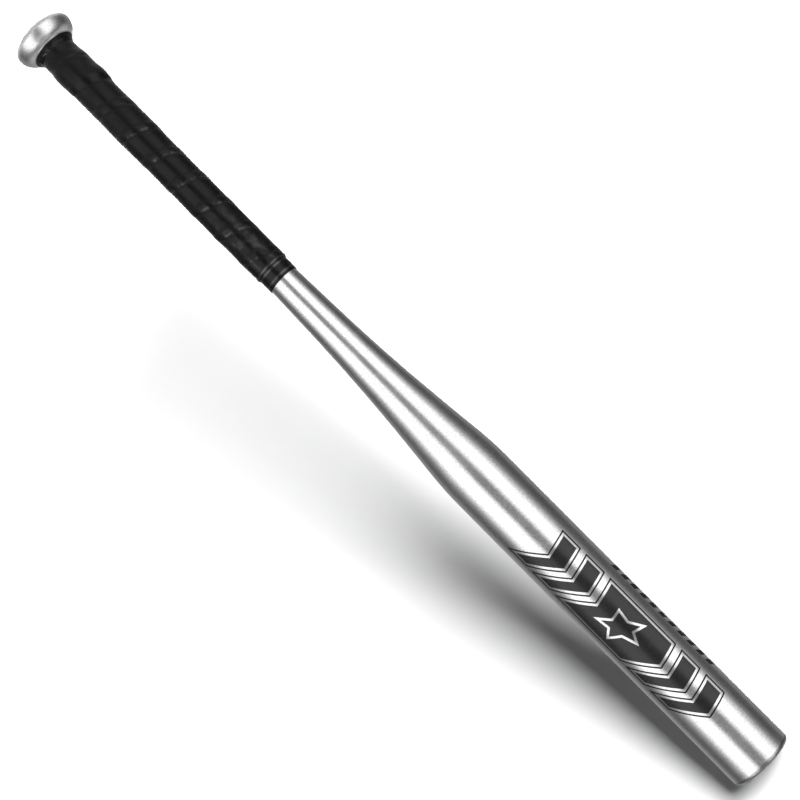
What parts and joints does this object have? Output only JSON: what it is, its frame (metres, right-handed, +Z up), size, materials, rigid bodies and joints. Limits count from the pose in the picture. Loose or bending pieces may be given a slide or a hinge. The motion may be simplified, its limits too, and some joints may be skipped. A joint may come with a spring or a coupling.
{
  "type": "baseball bat",
  "caption": "Alloy baseball bat with a satin metal barrel that tapers to a wrapped black grip and a round knob, standing on its barrel end.",
  "frame": {"origin": "centre of the barrel end face, on the plane that the bat stands on", "axes": "+Z up the bat's axis from the barrel end to the knob; the body is round, and its decorated side faces -Y"},
  "size_m": [0.054, 0.054, 0.8128],
  "materials": {
    "satin_aluminium": "satin",
    "knob_aluminium": "satin",
    "weld_aluminium": "matte",
    "cap_polymer": "matte",
    "damping_foam": "matte",
    "plug_rubber": "matte",
    "backing_felt": "matte",
    "grip_leather": "satin",
    "finish_vinyl": "satin"
  },
  "bodies": {
    "root": {"bat_shell": "satin_aluminium", "end_cap": "cap_polymer", "barrel_foam_disc": "damping_foam", "handle_foam_plug": "damping_foam", "knob": "knob_aluminium", "knob_weld": "weld_aluminium", "vent_plug": "plug_rubber", "grip_backing": "backing_felt", "grip_wrap": "grip_leather", "knob_collar": "grip_leather", "finish_tape": "finish_vinyl"}
  },
  "joints": []
}
